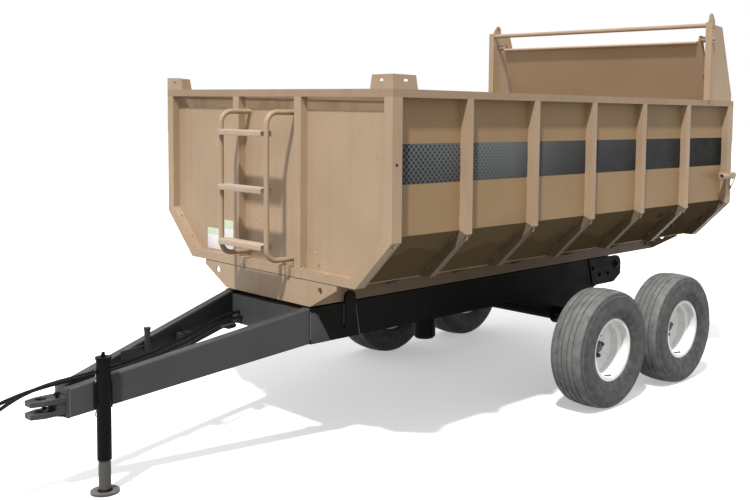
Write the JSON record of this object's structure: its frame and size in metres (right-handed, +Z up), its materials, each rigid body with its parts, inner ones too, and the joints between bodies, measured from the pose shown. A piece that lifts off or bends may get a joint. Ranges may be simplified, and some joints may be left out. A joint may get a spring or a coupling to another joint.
{
  "type": "tipping trailer",
  "caption": "Towed tandem-axle tipping trailer with a ribbed tub body, tailgate, A-shaped drawbar, parking jack and telescopic ram.",
  "frame": {"origin": "on the ground, midway between the drawbar's tip and the body's rear, on the centre line", "axes": "+Z up, -Y towards the drawbar and the tractor, +X the trailer's left side, where the jack is"},
  "size_m": [2.385, 5.2057, 2.6809],
  "materials": {
    "tan_paint": "satin, dusty",
    "dark_paint": "satin",
    "black_paint": "satin",
    "white_paint": "gloss",
    "zinc_steel": "zinc plated",
    "ram_chrome": "polished",
    "tyre_rubber": "matt, worn",
    "hose_rubber": "matt"
  },
  "bodies": {
    "chassis": {"chassis_rails": "black_paint", "chassis_crossbeams": "dark_paint", "rail_plates": "black_paint", "guide_tabs": "black_paint", "drawbar_arms": "dark_paint", "hitch_nose": "dark_paint", "hitch_jaws": "dark_paint", "drawbar_fittings": "black_paint", "jack_tube": "black_paint", "jack_leg": "black_paint", "bogie_hangers": "black_paint", "bogie_tube": "black_paint", "walking_beams": "black_paint", "wheel_spindles": "dark_paint", "tipping_shaft": "zinc_steel", "ram_cradle": "black_paint", "hose_upper": "hose_rubber", "hose_lower": "hose_rubber", "hose_couplers": "zinc_steel"},
    "tub": {"tub_floor": "tan_paint", "side_sheets": "tan_paint", "slope_sheets": "tan_paint", "front_wall": "tan_paint", "front_ribs": "tan_paint", "side_ribs": "tan_paint", "slope_ribs": "tan_paint", "rim_rail": "tan_paint", "corner_brackets": "tan_paint", "ladder_rails": "tan_paint", "ladder_rungs": "tan_paint", "tub_beams": "tan_paint", "bolsters": "tan_paint", "floor_gussets": "tan_paint", "tub_crossmembers": "tan_paint", "tipping_lugs": "tan_paint", "ram_ears": "tan_paint", "tailgate_posts": "tan_paint", "tailgate_crosstube": "tan_paint", "tailgate_latches": "tan_paint"},
    "tailgate": {"tailgate_panel": "tan_paint", "tailgate_arms": "tan_paint"},
    "wheel_left_front": {"tyre_left_front": "tyre_rubber", "rim_left_front": "white_paint", "hub_left_front": "dark_paint"},
    "wheel_left_rear": {"tyre_left_rear": "tyre_rubber", "rim_left_rear": "white_paint", "hub_left_rear": "dark_paint"},
    "wheel_right_front": {"tyre_right_front": "tyre_rubber", "rim_right_front": "white_paint", "hub_right_front": "dark_paint"},
    "wheel_right_rear": {"tyre_right_rear": "tyre_rubber", "rim_right_rear": "white_paint", "hub_right_rear": "dark_paint"},
    "ram_barrel": {"ram_barrel": "black_paint"},
    "ram_stage_1": {"ram_stage_1": "ram_chrome"},
    "ram_stage_2": {"ram_stage_2": "ram_chrome"},
    "ram_stage_3": {"ram_stage_3": "ram_chrome"},
    "ram_stage_4": {"ram_stage_4": "ram_chrome"}
  },
  "joints": [
    {"name": "tip", "type": "hinge", "parent": "chassis", "child": "tub", "pos_m": [0, 1.9065, 0.752], "axis": [-1, 0, 0], "range_deg": [0, 50]},
    {"name": "tailgate_swing", "type": "hinge", "parent": "tub", "child": "tailgate", "pos_m": [0, 2.1505, 2.491], "axis": [1, 0, 0], "range_deg": [0, 80]},
    {"name": "wheel_left_front_roll", "type": "hinge", "parent": "chassis", "child": "wheel_left_front", "pos_m": [1.0549, 0.7975, 0.39], "axis": [-1, 0, 0], "continuous": true},
    {"name": "wheel_left_rear_roll", "type": "hinge", "parent": "chassis", "child": "wheel_left_rear", "pos_m": [1.0549, 1.6745, 0.39], "axis": [-1, 0, 0], "continuous": true},
    {"name": "wheel_right_front_roll", "type": "hinge", "parent": "chassis", "child": "wheel_right_front", "pos_m": [-1.0549, 0.7975, 0.39], "axis": [-1, 0, 0], "continuous": true},
    {"name": "wheel_right_rear_roll", "type": "hinge", "parent": "chassis", "child": "wheel_right_rear", "pos_m": [-1.0549, 1.6745, 0.39], "axis": [-1, 0, 0], "continuous": true},
    {"name": "ram_tilt", "type": "hinge", "parent": "chassis", "child": "ram_barrel", "pos_m": [0, 0.2165, 0.7], "axis": [-1, 0, 0], "range_deg": [0, 27]},
    {"name": "ram_slide_1", "type": "slide", "parent": "ram_barrel", "child": "ram_stage_1", "axis": [0, 0, 1], "range_m": [0, 0.353]},
    {"name": "ram_slide_2", "type": "slide", "parent": "ram_stage_1", "child": "ram_stage_2", "axis": [0, 0, 1], "range_m": [0, 0.353]},
    {"name": "ram_slide_3", "type": "slide", "parent": "ram_stage_2", "child": "ram_stage_3", "axis": [0, 0, 1], "range_m": [0, 0.353]},
    {"name": "ram_slide_4", "type": "slide", "parent": "ram_stage_3", "child": "ram_stage_4", "axis": [0, 0, 1], "range_m": [0, 0.353]}
  ],
  "couplings": [
    {"joint": "ram_tilt", "follows": "tip", "ratio": 0.53311},
    {"joint": "ram_slide_1", "follows": "tip", "m_per_rad": 0.40364},
    {"joint": "ram_slide_2", "follows": "tip", "m_per_rad": 0.40364},
    {"joint": "ram_slide_3", "follows": "tip", "m_per_rad": 0.40364},
    {"joint": "ram_slide_4", "follows": "tip", "m_per_rad": 0.40364}
  ]
}
